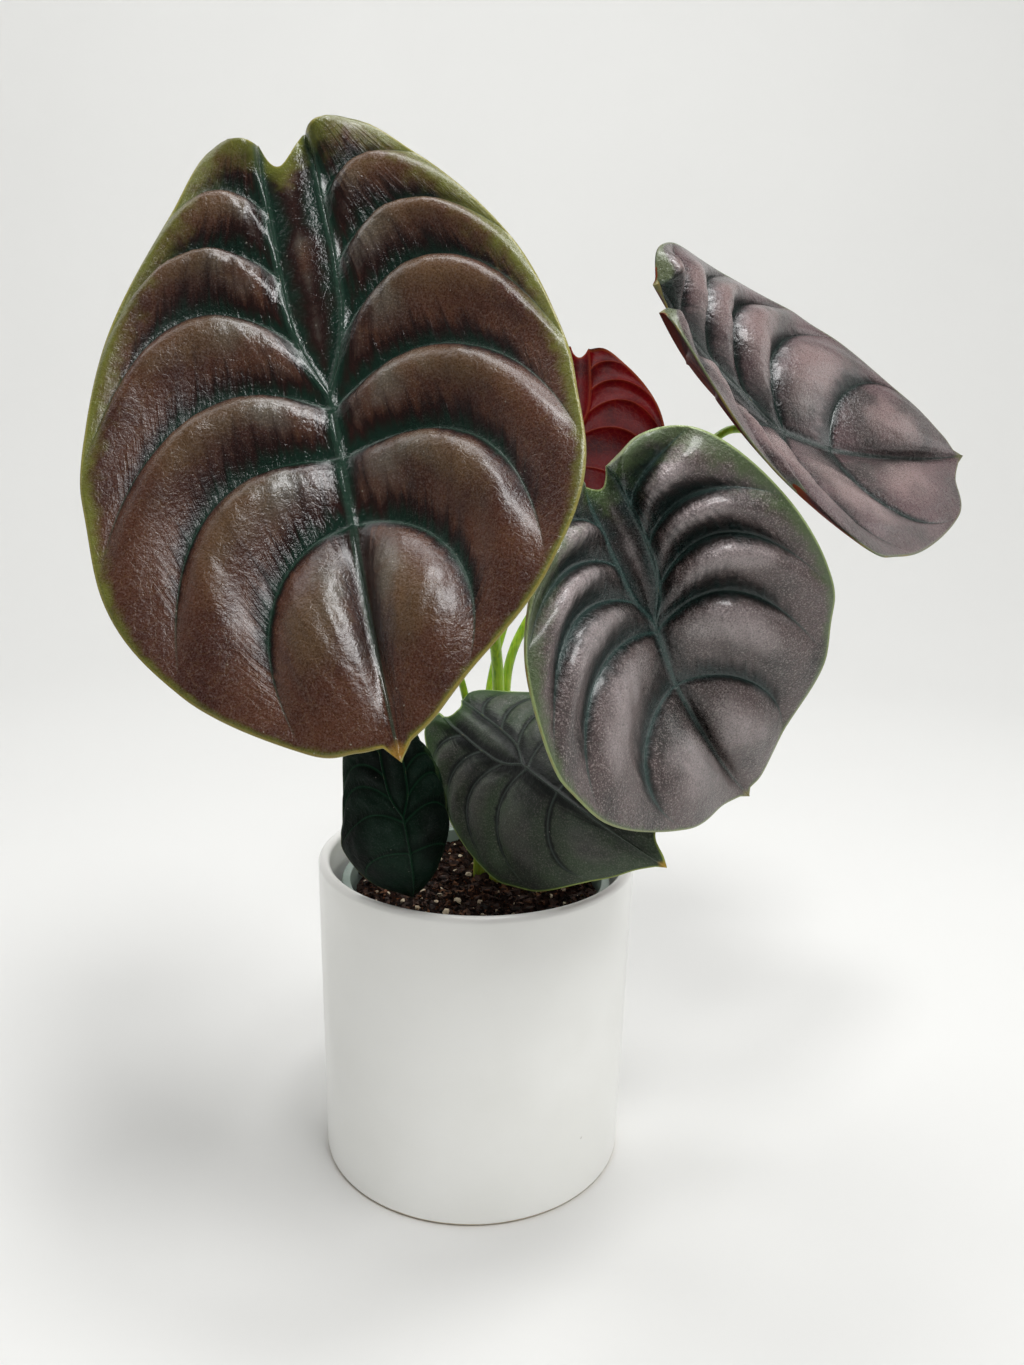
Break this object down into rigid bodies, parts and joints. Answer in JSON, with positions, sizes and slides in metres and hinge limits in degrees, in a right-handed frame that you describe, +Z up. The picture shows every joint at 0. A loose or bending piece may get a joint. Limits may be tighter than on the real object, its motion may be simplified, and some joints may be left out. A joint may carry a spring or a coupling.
{
  "type": "potted red secret alocasia",
  "caption": "Potted red secret alocasia: quilted, shield-shaped coppery leaves with sunken dark veins on green petioles, in a nursery pot inside a white cylindrical cover pot.",
  "frame": {"origin": "centre of the cover pot's flat bottom, where it stands", "axes": "+Z up along the cover pot's axis, -Y towards the front of the plant, the side the largest leaf faces"},
  "size_m": [0.3415, 0.2584, 0.4011],
  "materials": {
    "glazed_ceramic": "smooth satin white glaze",
    "nursery_plastic": "thin translucent grey-green plastic",
    "potting_mix": "rough dark peat and bark with pale perlite",
    "petiole": "smooth lime green",
    "leaf_a_surface": "waxy coppery brown purple with dark green veins",
    "leaf_b_surface": "waxy silvery grey purple with dark green veins",
    "leaf_c_surface": "waxy mauve purple with dark green veins",
    "leaf_d_surface": "deep wine red underside",
    "leaf_e_surface": "waxy dark grey green",
    "leaf_f_surface": "waxy very dark green"
  },
  "bodies": {
    "root": {"cover_pot": "glazed_ceramic", "nursery_pot": "nursery_plastic", "potting_mix": "potting_mix", "leaf_a_blade": "leaf_a_surface", "leaf_a_petiole": "petiole", "leaf_b_blade": "leaf_b_surface", "leaf_b_petiole": "petiole", "leaf_c_blade": "leaf_c_surface", "leaf_c_petiole": "petiole", "leaf_d_blade": "leaf_d_surface", "leaf_d_petiole": "petiole", "leaf_e_blade": "leaf_e_surface", "leaf_e_petiole": "petiole", "leaf_f_blade": "leaf_f_surface", "leaf_f_petiole": "petiole"}
  },
  "joints": []
}
